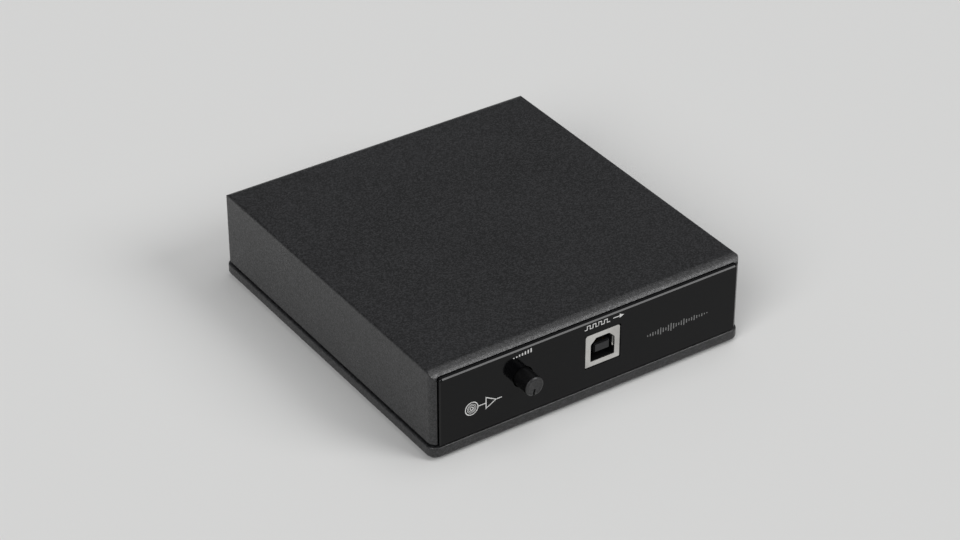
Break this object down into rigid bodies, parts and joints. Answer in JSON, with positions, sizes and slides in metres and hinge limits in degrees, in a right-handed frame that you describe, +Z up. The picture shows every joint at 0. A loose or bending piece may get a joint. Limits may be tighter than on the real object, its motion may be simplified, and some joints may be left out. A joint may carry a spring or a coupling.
{
  "type": "phono preamplifier",
  "caption": "Flat rounded desktop case with a gloss front panel, a slim level knob, a square USB socket, and rear phono sockets beside a ground post.",
  "frame": {"origin": "on the floor under the middle of the bounding box", "axes": "the front panel faces -Y, +X is to the right seen from the front, +Z is up"},
  "size_m": [0.1094, 0.1338, 0.03],
  "materials": {
    "cover_plastic": "fine-grained moulding, matt black",
    "panel_gloss": "polished black",
    "rear_plate_paint": "satin black powder coat",
    "foot_rubber": "matt",
    "black_screw": "black oxide",
    "bright_screw": "zinc plate",
    "knob_plastic": "satin black",
    "shaft_metal": "turned",
    "plate_metal": "tin plate",
    "pot_plastic": "moulded dark green",
    "phenolic": "pressed board",
    "usb_shell_metal": "nickel plate",
    "usb_body_plastic": "moulded grey",
    "contact_gold": "gold flash",
    "socket_block_plastic": "moulded black",
    "barrel_plate": "nickel plate",
    "insulator_red": "moulded red",
    "insulator_white": "moulded white",
    "cup_tin": "tin plate",
    "stud_plate": "nickel plate",
    "thumb_nut_brass": "gold-coloured plate",
    "jack_plastic": "moulded black",
    "board_green": "solder mask",
    "can_sleeve": "shrink sleeve",
    "film_case": "dipped box",
    "chip_plastic": "moulded package",
    "crystal_can": "nickel can",
    "relay_case": "moulded case",
    "choke_ferrite": "ferrite and winding",
    "resistor_blue": "lacquered"
  },
  "bodies": {
    "case": {"top_cover": "cover_plastic", "base_tray": "cover_plastic", "front_panel": "panel_gloss", "rear_panel": "rear_plate_paint", "foot_front_left": "foot_rubber", "foot_front_right": "foot_rubber", "foot_rear_left": "foot_rubber", "foot_rear_right": "foot_rubber", "case_screws": "black_screw", "board_screws": "bright_screw", "socket_screws": "black_screw", "pot_front_plate": "plate_metal", "pot_housing": "pot_plastic", "pot_track": "phenolic", "pot_terminals": "plate_metal", "usb_shell": "usb_shell_metal", "usb_body": "usb_body_plastic", "usb_contacts": "contact_gold", "line_out_block": "socket_block_plastic", "phono_in_block": "socket_block_plastic", "ground_bracket": "plate_metal", "ground_stud": "stud_plate", "ground_lock_nut": "stud_plate", "jack_housing": "jack_plastic", "jack_pin": "stud_plate", "jack_spring": "plate_metal", "circuit_board": "board_green", "supply_capacitors": "can_sleeve", "coupling_capacitors": "can_sleeve", "film_capacitors": "film_case", "input_opamp": "chip_plastic", "output_opamp": "chip_plastic", "usb_codec": "chip_plastic", "crystal": "crystal_can", "voltage_regulator": "chip_plastic", "mute_relay": "relay_case", "filter_choke": "choke_ferrite", "resistors": "resistor_blue", "line_out_right_barrel": "barrel_plate", "line_out_right_insulator": "insulator_red", "line_out_right_contact": "cup_tin", "line_out_left_barrel": "barrel_plate", "line_out_left_insulator": "insulator_white", "line_out_left_contact": "cup_tin", "phono_in_right_barrel": "barrel_plate", "phono_in_right_insulator": "insulator_red", "phono_in_right_contact": "cup_tin", "phono_in_left_barrel": "barrel_plate", "phono_in_left_insulator": "insulator_white", "phono_in_left_contact": "cup_tin"},
    "level_control": {"level_knob": "knob_plastic", "level_shaft": "shaft_metal", "pot_rotor": "pot_plastic", "pot_wiper": "contact_gold"},
    "ground_washer": {"ground_washer": "stud_plate"},
    "ground_nut": {"ground_nut": "thumb_nut_brass"}
  },
  "joints": [
    {"name": "level_turn", "type": "hinge", "parent": "case", "child": "level_control", "pos_m": [-0.02415, -0.0609, 0.0183], "axis": [0, 1, 0], "range_deg": [0, 300]},
    {"name": "ground_washer_slide", "type": "slide", "parent": "case", "child": "ground_washer", "axis": [0, 1, 0], "range_m": [0, 0.0035]},
    {"name": "ground_nut_turn", "type": "hinge", "parent": "ground_washer", "child": "ground_nut", "pos_m": [0.03895, 0.0573, 0.0191], "axis": [0, 1, 0], "range_deg": [0, 1800]}
  ],
  "couplings": [
    {"joint": "ground_nut_turn", "follows": "ground_washer_slide", "rad_per_m": 8976}
  ]
}
